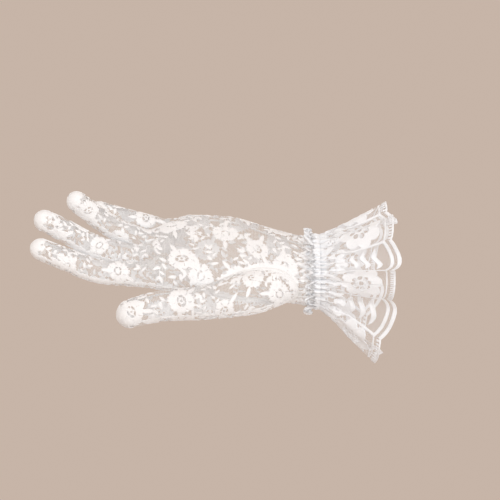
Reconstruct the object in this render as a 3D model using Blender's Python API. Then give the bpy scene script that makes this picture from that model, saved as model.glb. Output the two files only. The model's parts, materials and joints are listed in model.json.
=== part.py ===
"""A left lace bridal glove with a gathered ruffle cuff, in the shape it takes on a hand, without the hand.

The glove is cut as a front and a back, sewn round the hand and each finger, with a thumb set into its own
opening, a casing with elastic at the wrist and a ruffle beyond it. The fingers point along -X, the arm goes
out along +X, and the origin is the centre of the wrist opening at the gather. The cloth of each finger is
divided at the knuckles, because a rigid model bends only at hinges.

Hand coordinates, in millimetres: d towards the fingertips, r towards the thumb side, p out of the palm.
"""

import math

import bmesh
import bpy
import numpy as np

MM = 0.001
HAND_TILT = math.radians(45)  # how far the palm is turned up from facing -Y
DISTAL = np.array((-1.0, 0.0, 0.0))
RADIAL = np.array((0.0, -math.sin(HAND_TILT), -math.cos(HAND_TILT)))
PALMAR = np.array((0.0, -math.cos(HAND_TILT), math.sin(HAND_TILT)))

CLOTH = 1.2  # thickness of a solid lace panel
GAP = 0.4  # between neighbours that touch on the real glove
JOINT_GAP = 0.8  # from a finger joint to the cloth on each side of it
SEAM_WIDTH = 1.3
SEAM_PROUD = 0.5

# The hand's section at some places along it: d, centre r, centre p, half width, half thickness.
HAND_SECTIONS = (
    (-12, 0.0, -1.5, 26.0, 19.5),
    (5, 0.0, 0.0, 25.5, 19.0),
    (28, -1.5, 4.0, 28.5, 18.0),
    (60, -6.5, 8.0, 34.5, 16.0),
    (88, -6.5, 10.5, 34.5, 14.5),
    (106, -7.0, 12.0, 34.0, 12.5),
    (122, -7.0, 14.0, 34.0, 12.0),
)
HAND_SQUARENESS = 2.4  # exponent of the superellipse, 2 for an ellipse
HAND_START = 5.0
SIDE_SEAM_START = 8.5

# Each finger: its knuckle joints from base to tip, its half widths there, and how far each joint bends.
FINGERS = {
    "index": {
        "joints": ((112, 18, 13.5), (153.5, 18, 19.5), (175, 17, 30.5), (195, 15.5, 41)),
        "radii": (8.8, 8.4, 7.9, 7.2),
    },
    "middle": {
        "joints": ((111, 0, 12.5), (153.5, 0, 24), (174, -0.3, 39.5), (192.5, -1, 52.5)),
        "radii": (8.8, 8.5, 8.0, 7.3),
    },
    "ring": {
        "joints": ((106, -17.5, 10.5), (142, -18.3, 25), (158.5, -19, 41), (170.5, -19.6, 54)),
        "radii": (8.3, 8.1, 7.6, 7.0),
    },
    "little": {
        "joints": ((96, -34, 8), (126, -34.8, 14.5), (143, -35.4, 20.8), (158.5, -36, 27.5)),
        "radii": (7.5, 7.2, 6.8, 6.2),
    },
}
THUMB = {
    "joints": ((77, 41.5, 12), (109, 45.5, 12), (136.5, 52, 7.5)),
    "radii": (12.0, 10.8, 9.4),
}
# The base of the thumb, out of the side of the hand: d, centre r, centre p, half width, half thickness.
THUMB_BASE_SECTIONS = (
    (6, 14.0, 2.0, 5.0, 4.5),
    (22, 20.0, 6.0, 13.0, 11.0),
    (38, 27.0, 9.0, 17.0, 13.0),
    (55, 34.0, 11.0, 16.0, 13.2),
    (77, 41.5, 12.0, 12.0, 11.3),
)
DEPTH = 0.94  # a finger's thickness over its width

# How far each joint bends from this pose, in degrees: (straightening, curling).
FINGER_BASE_BEND = (-15, 60)
FINGER_MIDDLE_BEND = (-16, 70)
FINGER_TIP_BEND = (-8, 35)
THUMB_MIDDLE_BEND = (-10, 40)
THUMB_TIP_BEND = (-10, 40)
BEND_SLACK = 3.0  # degrees of room left at each end of a bend
THUMB_BASE_SHORT = 2.4  # its base stops this far before the joint, because the thumb turns outwards there

WRIST_ELASTIC = (-4.0, 1.0)  # along X
ELASTIC_THICK = 1.6
CASING_THICK = 1.0
FRILL = (-5.0, -12.5)  # the heading, from its sewn edge to its free edge along X
FRILL_RISE = 6.5
FRILL_WAVES = 13
RUFFLE_START = 1.8
RUFFLE_LENGTH = 56.0
RUFFLE_WAVES = 6  # folds round the ruffle, with two scallops to each
RUFFLE_WAVE_DEPTH = 7.0
RUFFLE_TURN = math.radians(38)
SCALLOP_DEPTH = 3.0


def place(points):
    """World metres from hand coordinates, an array whose last axis is d, r, p."""
    points = np.asarray(points, float)
    return (
        points[..., :1] * DISTAL + points[..., 1:2] * RADIAL + points[..., 2:3] * PALMAR
    ) * MM


def through(stations, at):
    """A smooth curve through rows of numbers, the first of each row being where it stands."""
    rows = np.asarray(stations, float)
    slopes = np.gradient(rows[:, 1:], rows[:, 0], axis=0)
    k = int(np.clip(np.searchsorted(rows[:, 0], at) - 1, 0, len(rows) - 2))
    span = rows[k + 1, 0] - rows[k, 0]
    t = (at - rows[k, 0]) / span
    return (
        (2 * t**3 - 3 * t**2 + 1) * rows[k, 1:]
        + (t**3 - 2 * t**2 + t) * span * slopes[k]
        + (3 * t**2 - 2 * t**3) * rows[k + 1, 1:]
        + (t**3 - t**2) * span * slopes[k + 1]
    )


def oval(angle, power):
    """A point of the superellipse of half sizes 1."""
    c, s = math.cos(angle), math.sin(angle)
    return (
        math.copysign(abs(c) ** (2 / power), c),
        math.copysign(abs(s) ** (2 / power), s),
    )


def hand_point(d, angle, outward=0.0):
    """A point of the hand's surface; angle 0 is the thumb side and 90 degrees the palm."""
    r0, p0, wide, thick = through(HAND_SECTIONS, d)
    x, y = oval(angle, HAND_SQUARENESS)
    return (d, r0 + (wide + outward) * x, p0 + (thick + outward) * y)


def outside_hand(point, outward=0.0):
    """Below 1 inside the hand's surface, above 1 outside it."""
    r0, p0, wide, thick = through(HAND_SECTIONS, point[0])
    x = abs(point[1] - r0) / (wide + outward)
    y = abs(point[2] - p0) / (thick + outward)
    return (x**HAND_SQUARENESS + y**HAND_SQUARENESS) ** (1 / HAND_SQUARENESS)


def add_object(name, vertices, faces, material):
    mesh = bpy.data.meshes.new(name)
    mesh.from_pydata([tuple(v) for v in vertices], [], faces)
    mesh.materials.append(material)
    edit = bmesh.new()
    edit.from_mesh(mesh)
    bmesh.ops.remove_doubles(edit, verts=edit.verts, dist=1e-7)
    bmesh.ops.recalc_face_normals(edit, faces=edit.faces)
    if edit.calc_volume(signed=True) < 0:
        bmesh.ops.reverse_faces(edit, faces=edit.faces)
    edit.to_mesh(mesh)
    edit.free()
    mesh.shade_smooth()
    mesh.set_sharp_from_angle(angle=math.radians(40))
    made = bpy.data.objects.new(name, mesh)
    bpy.context.scene.collection.objects.link(made)
    return made


def shell(name, outer, inner, material, ring=False):
    """A thin solid between two grids of points of the same shape; a ring's grid closes on itself."""
    rows, columns = outer.shape[:2]
    count = rows * columns
    around = columns if ring else columns - 1

    def quad(i, j, base):
        k = (j + 1) % columns
        start, end = base + i * columns, base + (i + 1) * columns
        return [start + j, start + k, end + k, end + j]

    faces = []
    for i in range(rows - 1):
        for j in range(around):
            faces.append(quad(i, j, 0))
            faces.append(quad(i, j, count)[::-1])
    for j in range(around):
        k = (j + 1) % columns
        last = (rows - 1) * columns
        faces.append([j, count + j, count + k, k])
        faces.append([last + k, last + count + k, last + count + j, last + j])
    if not ring:
        for i in range(rows - 1):
            a, b = i * columns, (i + 1) * columns
            faces.append([b, count + b, count + a, a])
            a, b = a + columns - 1, b + columns - 1
            faces.append([a, count + a, count + b, b])
    vertices = np.concatenate([outer.reshape(-1, 3), inner.reshape(-1, 3)])
    return add_object(name, vertices, faces, material)


def solid(name, grid, material):
    """A closed body from rings of points, with its two ends filled."""
    rows, columns = grid.shape[:2]
    faces = []
    for i in range(rows - 1):
        for j in range(columns):
            start, end, k = i * columns, (i + 1) * columns, (j + 1) % columns
            faces.append([start + j, start + k, end + k, end + j])
    faces.append(list(range(columns))[::-1])
    faces.append([(rows - 1) * columns + j for j in range(columns)])
    return add_object(name, grid.reshape(-1, 3), faces, material)


def subtract(body, cutter):
    """Cuts the cutter out of the body and removes the cutter."""
    cut = body.modifiers.new("opening", "BOOLEAN")
    cut.operation = "DIFFERENCE"
    cut.object = cutter
    shape = bpy.data.meshes.new_from_object(
        body.evaluated_get(bpy.context.evaluated_depsgraph_get())
    )
    body.modifiers.clear()
    body.data = shape
    bpy.data.objects.remove(cutter)


def lace_material(name, colour, roughness):
    material = bpy.data.materials.new(name)
    material.use_nodes = True
    principled = material.node_tree.nodes["Principled BSDF"]
    principled.inputs["Base Color"].default_value = (*colour, 1.0)
    principled.inputs["Roughness"].default_value = roughness
    principled.inputs["Metallic"].default_value = 0.0
    return material


def knuckle_edge(r, shift):
    """Where the hand's panels end, a little short of the finger joints at this r."""
    bases = sorted((f["joints"][0][1], f["joints"][0][0]) for f in FINGERS.values())
    return float(np.interp(r, [b[0] for b in bases], [b[1] for b in bases])) - shift


def hand_panel(name, side, material):
    """The front (side 1) or back (side -1) of the hand, from the casing to the knuckles."""
    rows, columns = 14, 22
    shift = 8.5 if side > 0 else 2.5
    edge = math.asin(0.055)  # keeps the side seams clear
    angles = np.linspace(edge, math.pi - edge, columns) * side
    grids = []
    for outward in (0.0, -CLOTH):
        grid = np.empty((rows, columns, 3))
        for j, angle in enumerate(angles):
            end = knuckle_edge(hand_point(100, angle)[1], shift)
            for i, d in enumerate(np.linspace(HAND_START, end, rows)):
                grid[i, j] = hand_point(d, angle, outward)
                low = SEAM_WIDTH / 2 + GAP
                middle = through(HAND_SECTIONS, d)[1]
                if abs(grid[i, j, 2] - middle) < low:
                    grid[i, j, 2] = middle + side * low
        grids.append(place(grid))
    return shell(name, *grids, material)


def side_seam(name, angle, start, end, material):
    """The overlocked seam between front and back along one side of the hand."""
    away = math.copysign(1.0, math.cos(angle))
    grid = np.empty((16, 4, 3))
    for i, d in enumerate(np.linspace(start, end, len(grid))):
        r0, p0, wide, _ = through(HAND_SECTIONS, d)
        outer = r0 + away * (wide + SEAM_PROUD)
        inner = r0 + away * (wide - CLOTH)
        half = SEAM_WIDTH / 2
        below, above = p0 - half, p0 + half
        grid[i] = [(d, outer, below), (d, outer, above), (d, inner, above), (d, inner, below)]
    return solid(name, place(grid), material)


def finger_frame(joints, k):
    """Section k of a finger: its start, length, direction, and the directions across it and out of it."""
    start, end = np.asarray(joints[k], float), np.asarray(joints[k + 1], float)
    length = float(np.linalg.norm(end - start))
    along = (end - start) / length
    across = np.array((0.0, 1.0, 0.0)) - along * along[1]
    across /= np.linalg.norm(across)
    return start, length, along, across, np.cross(along, across)


def bend_between(joints, k):
    """How far, in degrees, section k + 1 of a finger is already curled from section k."""
    rises = []
    for section in (k, k + 1):
        along = finger_frame(joints, section)[2]
        rises.append(math.degrees(math.atan2(along[2], along[0])))
    return rises[1] - rises[0]


def wedge(rest, bend, side):
    """Slope of a section's end that leaves room for a joint to curl, on the front, or straighten, on the back."""
    room = rest + bend[1] if side > 0 else -rest - bend[0]
    return math.tan(math.radians(max(room, 0.0) / 2 + BEND_SLACK))


def finger_panel(name, digit, k, side, slopes, material, closed_tip=False):
    """The front or back of one finger section: a half tube whose ends slope away from its joints."""
    start, length, along, across, out = finger_frame(digit["joints"], k)
    first, last = digit["radii"][k], digit["radii"][k + 1]
    columns = 10
    half_gap = GAP / 2
    stations = [(t, 1.0) for t in np.linspace(0.0, 1.0, 3)]
    if closed_tip:
        turns = np.linspace(0.0, math.radians(86), 6)
        body = 1.0 - last / length
        stations = [(0.0, 1.0), (body / 2, 1.0)]
        stations += [(body + math.sin(a) * last / length, math.cos(a)) for a in turns]
    grids = []
    for outward in (0.0, -CLOTH):
        grid = np.empty((len(stations), columns, 3))
        for i, (t, narrow) in enumerate(stations):
            radius = (first + (last - first) * min(t, 1.0)) * narrow
            wide = max(radius + outward * (narrow > 0.3), 0.3)
            thick = max(radius * DEPTH + outward * (narrow > 0.3), 0.28)
            for j, angle in enumerate(np.linspace(0.0, math.pi, columns)):
                x, y = wide * math.cos(angle), max(thick * math.sin(angle), half_gap)
                low, high = slopes
                room = JOINT_GAP + y * low
                far = length - JOINT_GAP - y * high
                if closed_tip:
                    far = length + outward * t
                s = max(t * length, room) if closed_tip else room + t * (far - room)
                s = min(s, far)
                grid[i, j] = start + along * s + across * x + out * (y * side)
        grids.append(place(grid))
    return shell(name, *grids, material)


def thumb_base_point(d, angle, outward=0.0):
    """A point of the thumb's base; angle 0 is away from the hand and 90 degrees its front."""
    r0, p0, wide, thick = through(THUMB_BASE_SECTIONS, d)
    return (d, r0 + (wide + outward) * math.cos(angle), p0 + (thick + outward) * math.sin(angle))


def thumb_base_panel(name, side, end_slope, material):
    """The front or back of the thumb's base, cut off where it meets the hand."""
    rows, columns = 12, 14
    first, last = THUMB_BASE_SECTIONS[0][0], THUMB["joints"][0][0] - THUMB_BASE_SHORT
    grids = []
    for outward in (0.0, -CLOTH):
        grid = np.empty((rows, columns, 3))
        for i, part in enumerate(np.linspace(0.0, 1.0, rows)):
            for j, angle in enumerate(np.linspace(0.0, math.pi, columns)):
                rise = THUMB_BASE_SECTIONS[-1][4] * math.sin(angle)
                d = first + part * (last - rise * end_slope - first)
                grid[i, j] = thumb_base_point(d, angle * side, outward)
                middle = through(THUMB_BASE_SECTIONS, d)[1]
                if abs(grid[i, j, 2] - middle) < GAP / 2:
                    grid[i, j, 2] = middle + side * GAP / 2
        grids.append(place(grid))
    return shell(name, *grids, material)


def envelope(name, point, start, end, rows, columns, outward, material):
    """A solid body of the space inside a surface, for cutting."""
    angles = np.linspace(0, 2 * math.pi, columns, endpoint=False)
    grid = [[point(d, a, outward) for a in angles] for d in np.linspace(start, end, rows)]
    return solid(name, place(grid), material)


def thumb_seam(name, material):
    """The seam round the thumb's opening, where the thumb's surface leaves the hand's."""
    first, last = THUMB_BASE_SECTIONS[0][0], THUMB_BASE_SECTIONS[-1][0]
    path = []
    for angle in np.linspace(0, 2 * math.pi, 56, endpoint=False):
        inside, beyond = first, last
        for _ in range(30):
            middle = (inside + beyond) / 2
            if outside_hand(thumb_base_point(middle, angle)) < 1:
                inside = middle
            else:
                beyond = middle
        path.append(thumb_base_point(inside, angle))
    curve = bpy.data.curves.new(name, "CURVE")
    curve.dimensions = "3D"
    curve.bevel_depth = SEAM_WIDTH / 2 * MM
    curve.bevel_resolution = 1
    spline = curve.splines.new("POLY")
    spline.points.add(len(path) - 1)
    for spot, where in zip(spline.points, place(path), strict=True):
        spot.co = (*where, 1.0)
    spline.use_cyclic_u = True
    curve.materials.append(material)
    made = bpy.data.objects.new(name, curve)
    bpy.context.scene.collection.objects.link(made)
    return made


def band(name, span, low, high, material):
    """A flat ring round the wrist, between two heights over the hand's surface."""
    angles = np.linspace(0, 2 * math.pi, 48, endpoint=False)
    grids = [
        place([[hand_point(-x, a, height) for a in angles] for x in span])
        for height in (high, low)
    ]
    return shell(name, *grids, material, ring=True)


def frill_point(angle, part, outward):
    """The heading: a short frill that stands up from the casing towards the hand."""
    d = -FRILL[0] + part * (FRILL[0] - FRILL[1])
    wave = 0.5 + 0.5 * math.cos(FRILL_WAVES * angle)
    rise = part * FRILL_RISE * (0.45 + 0.55 * wave)
    return hand_point(d, angle, GAP + outward + rise)


def ruffle_flare(angle):
    """How far the ruffle opens from the arm: most underneath, where it hangs, and least at the palm side."""
    turned = angle + HAND_TILT
    up, near = -math.cos(turned), math.sin(turned)
    return math.radians(26.5 - 11.0 * up - 6.0 * near + 6.5 * up * up)


def ruffle_point(angle, part, outward):
    """World millimetres: part runs from 0 at the gather to 1 at the scalloped edge."""
    base = place(hand_point(-RUFFLE_START, angle)) / MM
    away = math.cos(angle) * RADIAL + math.sin(angle) * PALMAR
    flare = ruffle_flare(angle)
    ahead = -DISTAL
    turned = RUFFLE_WAVES * (angle - RUFFLE_TURN)
    length = (RUFFLE_LENGTH - SCALLOP_DEPTH * (1 - abs(math.cos(turned)))) * part
    wave = RUFFLE_WAVE_DEPTH * part * math.cos(turned)
    normal = math.cos(flare) * away - math.sin(flare) * ahead
    slope = math.cos(flare) * ahead + math.sin(flare) * away
    return base + length * slope + (wave + outward) * normal


def ruffle(name, material):
    angles = np.linspace(0, 2 * math.pi, 18 * RUFFLE_WAVES, endpoint=False)
    parts = np.linspace(0.0, 1.0, 8)
    grids = [
        np.array([[ruffle_point(a, part, height) for a in angles] for part in parts]) * MM
        for height in (CLOTH / 2, -CLOTH / 2)
    ]
    return shell(name, *grids, material, ring=True)


def frill(name, material):
    angles = np.linspace(0, 2 * math.pi, 6 * FRILL_WAVES, endpoint=False)
    grids = [
        place([[frill_point(a, part, height) for a in angles] for part in (0.0, 0.5, 1.0)])
        for height in (CLOTH, 0.0)
    ]
    return shell(name, *grids, material, ring=True)


def build_hand(lace, seam, elastic):
    cut = CLOTH + 0.2
    for name, side in (("palm_panel", 1), ("back_panel", -1)):
        panel = hand_panel(name, side, lace)
        first, last = THUMB_BASE_SECTIONS[0][0], THUMB_BASE_SECTIONS[-1][0] + 4
        subtract(panel, envelope("thumb_space", thumb_base_point, first, last, 14, 28, cut, lace))
    side_seam("little_side_seam", math.pi, SIDE_SEAM_START, FINGERS["little"]["joints"][0][0] - 10, seam)
    first = THUMB["joints"][0][0] + 9
    side_seam("index_side_seam", 0.0, first, FINGERS["index"]["joints"][0][0] - 9, seam)
    thumb_seam("thumb_seam", seam)
    for name, side in (("thumb_front_base", 1), ("thumb_back_base", -1)):
        slope = wedge(0.0, THUMB_MIDDLE_BEND, side)
        panel = thumb_base_panel(name, side, slope, lace)
        subtract(panel, envelope("hand_space", hand_point, -2, 100, 20, 40, cut, lace))
    band("wrist_elastic", WRIST_ELASTIC, -ELASTIC_THICK, 0.0, elastic)
    band("wrist_casing", (WRIST_ELASTIC[0] - 0.2, WRIST_ELASTIC[1] + 0.2), 0.3, 0.3 + CASING_THICK, lace)
    frill("heading_frill", lace)
    ruffle("ruffle", lace)


def build_fingers(lace):
    hand_slope = 4.0  # the hand's own rise towards the fingers, in degrees
    for finger, digit in FINGERS.items():
        joints = digit["joints"]
        along = finger_frame(joints, 0)[2]
        base_rest = math.degrees(math.atan2(along[2], along[0])) - hand_slope
        rests = (base_rest, bend_between(joints, 0), bend_between(joints, 1))
        bends = (FINGER_BASE_BEND, FINGER_MIDDLE_BEND, FINGER_TIP_BEND)
        for side, face in ((1, "front"), (-1, "back")):
            slopes = [wedge(rest, bend, side) for rest, bend in zip(rests, bends, strict=True)] + [0.0]
            for k, part in enumerate(("base", "middle", "tip")):
                name = f"{finger}_{face}_{part}"
                finger_panel(name, digit, k, side, slopes[k : k + 2], lace, part == "tip")


def build_thumb(lace):
    rest = bend_between(THUMB["joints"], 0)
    for side, face in ((1, "front"), (-1, "back")):
        slopes = [wedge(0.0, THUMB_MIDDLE_BEND, side), wedge(rest, THUMB_TIP_BEND, side), 0.0]
        for k, part in enumerate(("middle", "tip")):
            name = f"thumb_{face}_{part}"
            finger_panel(name, THUMB, k, side, slopes[k : k + 2], lace, part == "tip")


def main():
    for old in list(bpy.data.objects):
        bpy.data.objects.remove(old)
    lace = lace_material("white_lace", (0.92, 0.91, 0.9), 0.7)
    seam = lace_material("seam_thread", (0.94, 0.94, 0.93), 0.6)
    elastic = lace_material("covered_elastic", (0.9, 0.9, 0.89), 0.55)
    build_hand(lace, seam, elastic)
    build_fingers(lace)
    build_thumb(lace)


main()
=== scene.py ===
"""The looks of a lace bridal glove: net, floral clothwork, seams, elastic, heading and ruffle.

Lengths are millimetres until a mesh is made. Hand coordinates are d towards the fingertips, r towards the
thumb side and p out of the palm. Every lace panel is drawn flat, with u across it and v along it, as net
with raised clothwork over it, and is then laid on its surface.
"""

import json
import math

import bpy
import numpy as np
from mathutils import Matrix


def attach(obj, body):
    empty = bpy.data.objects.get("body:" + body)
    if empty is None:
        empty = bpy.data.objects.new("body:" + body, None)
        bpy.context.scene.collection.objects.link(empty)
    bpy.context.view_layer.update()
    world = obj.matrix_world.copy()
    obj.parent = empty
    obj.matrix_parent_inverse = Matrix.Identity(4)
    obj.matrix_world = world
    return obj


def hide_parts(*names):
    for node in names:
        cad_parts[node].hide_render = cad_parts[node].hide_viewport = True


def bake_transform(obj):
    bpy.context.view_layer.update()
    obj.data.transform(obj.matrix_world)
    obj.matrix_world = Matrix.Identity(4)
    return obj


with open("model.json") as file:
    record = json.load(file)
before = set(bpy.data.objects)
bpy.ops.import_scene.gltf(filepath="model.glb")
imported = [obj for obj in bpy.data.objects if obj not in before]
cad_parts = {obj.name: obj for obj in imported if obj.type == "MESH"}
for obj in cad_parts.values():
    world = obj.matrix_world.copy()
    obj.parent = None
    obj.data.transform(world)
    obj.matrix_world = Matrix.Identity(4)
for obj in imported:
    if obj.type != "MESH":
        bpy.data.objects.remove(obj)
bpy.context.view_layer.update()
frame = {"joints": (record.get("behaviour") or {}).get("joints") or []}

MM = 0.001
TAU = 2 * math.pi
JOINTS = {j["name"]: j for j in frame["joints"]}
RADIAL = -np.array(JOINTS["index_base_bend"]["axis"], float)
DISTAL = np.array((-1.0, 0.0, 0.0))
PALMAR = np.cross(DISTAL, RADIAL)
HAND_TILT = math.atan2(-RADIAL[1], -RADIAL[2])

# The hand's section, as in the CAD: d, centre r, centre p, half width, half thickness.
HAND_SECTIONS = (
    (-12, 0.0, -1.5, 26.0, 19.5),
    (5, 0.0, 0.0, 25.5, 19.0),
    (28, -1.5, 4.0, 28.5, 18.0),
    (60, -6.5, 8.0, 34.5, 16.0),
    (88, -6.5, 10.5, 34.5, 14.5),
    (106, -7.0, 12.0, 34.0, 12.5),
    (122, -7.0, 14.0, 34.0, 12.0),
)
SQUARE = 2.4  # the superellipse's exponent
HAND_START = 2.5

# The thumb from inside the hand to its tip, as in the CAD: d, r, p, half width, half thickness.
THUMB_SECTIONS = (
    (6, 14.0, 2.0, 5.0, 4.5),
    (22, 20.0, 6.0, 13.0, 11.0),
    (38, 27.0, 9.0, 17.0, 13.0),
    (55, 34.0, 11.0, 16.0, 13.2),
    (77, 41.5, 12.0, 12.0, 11.3),
    (109, 45.5, 12.0, 10.8, 10.2),
    (136.5, 52.0, 7.5, 9.4, 8.8),
)
THUMB_FREE = 77  # beyond this d its sections stand square to it

# Each finger: its tip, its half widths at its three joints and its tip, and the r of its two sides where it
# leaves the hand, None where that is the hand's own side.
FINGERS = {
    "index": ((195, 15.5, 41), (8.8, 8.4, 7.9, 7.2), (None, 9.15)),
    "middle": ((192.5, -1, 52.5), (8.8, 8.5, 8.0, 7.3), (8.85, -8.85)),
    "ring": ((170.5, -19.6, 54), (8.3, 8.1, 7.6, 7.0), (-9.15, -26.0)),
    "little": ((158.5, -36, 27.5), (7.5, 7.2, 6.8, 6.2), (-26.3, None)),
}
DEPTH = 0.94
FINGER_LEAD = 6.0  # from where its cloth leaves the hand to its first joint

STEP = 0.45  # of the grid that the clothwork is cut from
NET_PITCH = 1.15
NET_THREAD = 0.14
FINE_PITCH = 0.75
FINE_THREAD = 0.24
RASTER = 0.5  # of the points that a piece's flat extent is measured from


# ---------------- curves and surfaces


def hand_of(points):
    """Hand coordinates, in millimetres, of world points in metres."""
    points = np.asarray(points, float) / MM
    return np.stack([points @ DISTAL, points @ RADIAL, points @ PALMAR], -1)


def place(points):
    """World metres of hand coordinates."""
    points = np.asarray(points, float)
    return (points[..., :1] * DISTAL + points[..., 1:2] * RADIAL + points[..., 2:3] * PALMAR) * MM


def through(rows, at):
    """A smooth curve through rows of numbers, the first of each being where it stands."""
    rows, at = np.asarray(rows, float), np.asarray(at, float)
    slopes = np.gradient(rows[:, 1:], rows[:, 0], axis=0)
    k = np.clip(np.searchsorted(rows[:, 0], at) - 1, 0, len(rows) - 2)
    span = (rows[k + 1, 0] - rows[k, 0])[..., None]
    t = (at - rows[k, 0])[..., None] / span
    return (
        (2 * t**3 - 3 * t**2 + 1) * rows[k, 1:]
        + (t**3 - 2 * t**2 + t) * span * slopes[k]
        + (3 * t**2 - 2 * t**3) * rows[k + 1, 1:]
        + (t**3 - t**2) * span * slopes[k + 1]
    )


def ease(t):
    t = np.clip(t, 0, 1)
    return t * t * (3 - 2 * t)


def unit(v):
    return v / np.maximum(np.linalg.norm(v, axis=-1, keepdims=True), 1e-9)


def between(field, i, j):
    """A field of rows and columns, read at any i and j."""
    i = np.clip(i, 0, field.shape[0] - 1 - 1e-6)
    j = np.clip(j, 0, field.shape[1] - 1 - 1e-6)
    i0, j0 = i.astype(int), j.astype(int)
    a, b = (np.reshape(x, x.shape + (1,) * (field.ndim - 2)) for x in (i - i0, j - j0))
    near = field[i0, j0] * (1 - b) + field[i0, j0 + 1] * b
    far = field[i0 + 1, j0] * (1 - b) + field[i0 + 1, j0 + 1] * b
    return near * (1 - a) + far * a


def distances(line):
    """How far along a line each of its points is."""
    return np.concatenate([[0], np.cumsum(np.linalg.norm(np.diff(line, axis=0), axis=1))])


def evenly(line, count):
    """A line read again at even distances, and its length."""
    run = distances(line)
    at = np.linspace(0, run[-1], count)
    return np.stack([np.interp(at, run, column) for column in line.T], -1), run[-1]


def section_at(rows, d):
    """A section's centre r and p, half width and half thickness."""
    return np.moveaxis(through(rows, d), -1, 0)


def hand_point(d, angle, outward=0.0):
    """A point of the hand's surface; angle 0 is the thumb side and 90 degrees the palm."""
    r0, p0, wide, thick = section_at(HAND_SECTIONS, d)
    c, s = np.cos(angle), np.sin(angle)
    x = np.sign(c) * np.abs(c) ** (2 / SQUARE)
    y = np.sign(s) * np.abs(s) ** (2 / SQUARE)
    return np.stack(np.broadcast_arrays(d, r0 + (wide + outward) * x, p0 + (thick + outward) * y), -1)


def from_hand(points):
    """Roughly how far points are outside the hand's surface."""
    r0, p0, wide, thick = section_at(HAND_SECTIONS, points[..., 0])
    x, y = np.abs(points[..., 1] - r0) / wide, np.abs(points[..., 2] - p0) / thick
    return ((x**SQUARE + y**SQUARE) ** (1 / SQUARE) - 1) * thick


def from_thumb(points):
    """Roughly how far points are outside the thumb's base."""
    d = points[..., 0]
    r0, p0, wide, thick = section_at(THUMB_SECTIONS, d)
    out = (np.hypot((points[..., 1] - r0) / wide, (points[..., 2] - p0) / thick) - 1) * thick
    return np.maximum(out, THUMB_SECTIONS[0][0] - d)


class Cloth:
    """A surface to lay flat cloth on: rows of hand coordinates at each v, with u = 0 in their middle."""

    def __init__(self, grid, v, outward=1.0, half=None):
        self.grid, self.v = grid, np.asarray(v, float)
        if half is None:
            half = np.linalg.norm(np.diff(grid, axis=1), axis=2).sum(1) / 2
        self.half = np.broadcast_to(half, self.v.shape)
        normal = np.cross(np.gradient(grid, axis=1), np.gradient(grid, axis=0))
        self.normal = unit(normal) * outward

    def edge(self, u, v):
        """How far flat points are inside the cloth's two long edges."""
        return np.interp(v, self.v, self.half) - np.abs(u)

    def across(self, row, column):
        """The u of one of its points."""
        return (2 * column / (self.grid.shape[1] - 1) - 1) * self.half[row]

    def at(self, u, v, height=0.0):
        """Points on the cloth, raised by height."""
        half = np.maximum(np.interp(v, self.v, self.half), 1e-3)
        i = np.interp(v, self.v, np.arange(len(self.grid)))
        j = (0.5 + 0.5 * u / half) * (self.grid.shape[1] - 1)
        return between(self.grid, i, j) + between(self.normal, i, j) * np.reshape(height, (-1, 1))


# ---------------- flat meshes


def squeeze(points, triangles):
    """Drops the points that no triangle uses."""
    used, back = np.unique(triangles, return_inverse=True)
    return points[used], back.reshape(-1, 3)


def clip(points, triangles, value):
    """The part of a mesh where value is above 0. A point may hold more numbers than its place."""
    inside = value > 0
    count = inside[triangles].sum(1)
    kept, edges, cuts = [triangles[count == 3]], [], []
    for inner in (1, 2):
        cut = triangles[count == inner]
        odd = inside[cut] == (inner == 1)
        first, rows = odd.argmax(1), np.arange(len(cut))
        a, b, c = (cut[rows, (first + k) % 3] for k in range(3))
        edges += [np.stack([a, b], 1), np.stack([a, c], 1)]
        cuts.append((a, b, c))
    pairs, where = np.unique(np.sort(np.concatenate(edges), axis=1), axis=0, return_inverse=True)
    where = where.reshape(-1) + len(points)
    low, high = value[pairs[:, 0]], value[pairs[:, 1]]
    share = (low / np.where(low == high, 1, low - high))[:, None]
    points = np.concatenate([points, points[pairs[:, 0]] * (1 - share) + points[pairs[:, 1]] * share])
    ends = np.split(where, np.cumsum([len(e) for e in edges])[:-1])
    (a, b, c), ab, ac = cuts[0], ends[0], ends[1]
    kept.append(np.stack([a, ab, ac], 1))
    (a, b, c), ab, ac = cuts[1], ends[2], ends[3]
    kept += [np.stack([ab, b, c], 1), np.stack([ab, c, ac], 1)]
    return squeeze(points, np.concatenate(kept))


def net(u_span, v_span, pitch, thread):
    """Flat hexagonal net: every cell is a ring of six ribbons."""
    rise = pitch * math.sqrt(3) / 2
    rows = np.arange(math.floor(v_span[0] / rise), math.ceil(v_span[1] / rise) + 1)
    columns = np.arange(math.floor(u_span[0] / pitch) - 1, math.ceil(u_span[1] / pitch) + 1)
    c, r = np.meshgrid(columns, rows)
    centre = np.stack([(c + 0.5 * (r % 2)) * pitch, r * rise], -1).reshape(-1, 1, 2)
    turn = np.radians(30 + 60 * np.arange(6))
    corner = np.stack([np.cos(turn), np.sin(turn)], -1) * pitch / math.sqrt(3)
    points = np.concatenate([centre + corner, centre + corner * (1 - thread / pitch)], 1).reshape(-1, 2)
    k = np.arange(6)
    n = (k + 1) % 6
    ring = np.concatenate([np.stack([k, n, n + 6], 1), np.stack([k, n + 6, k + 6], 1)])
    return points, (ring + 12 * np.arange(len(centre))[:, None, None]).reshape(-1, 3)


# ---------------- the lace's drawing


def grid_steps(low, high):
    """Where a span starts, the size of its steps and how many points they have."""
    count = max(2, round((high - low) / STEP))
    return low, (high - low) / count, count + 1


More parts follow.
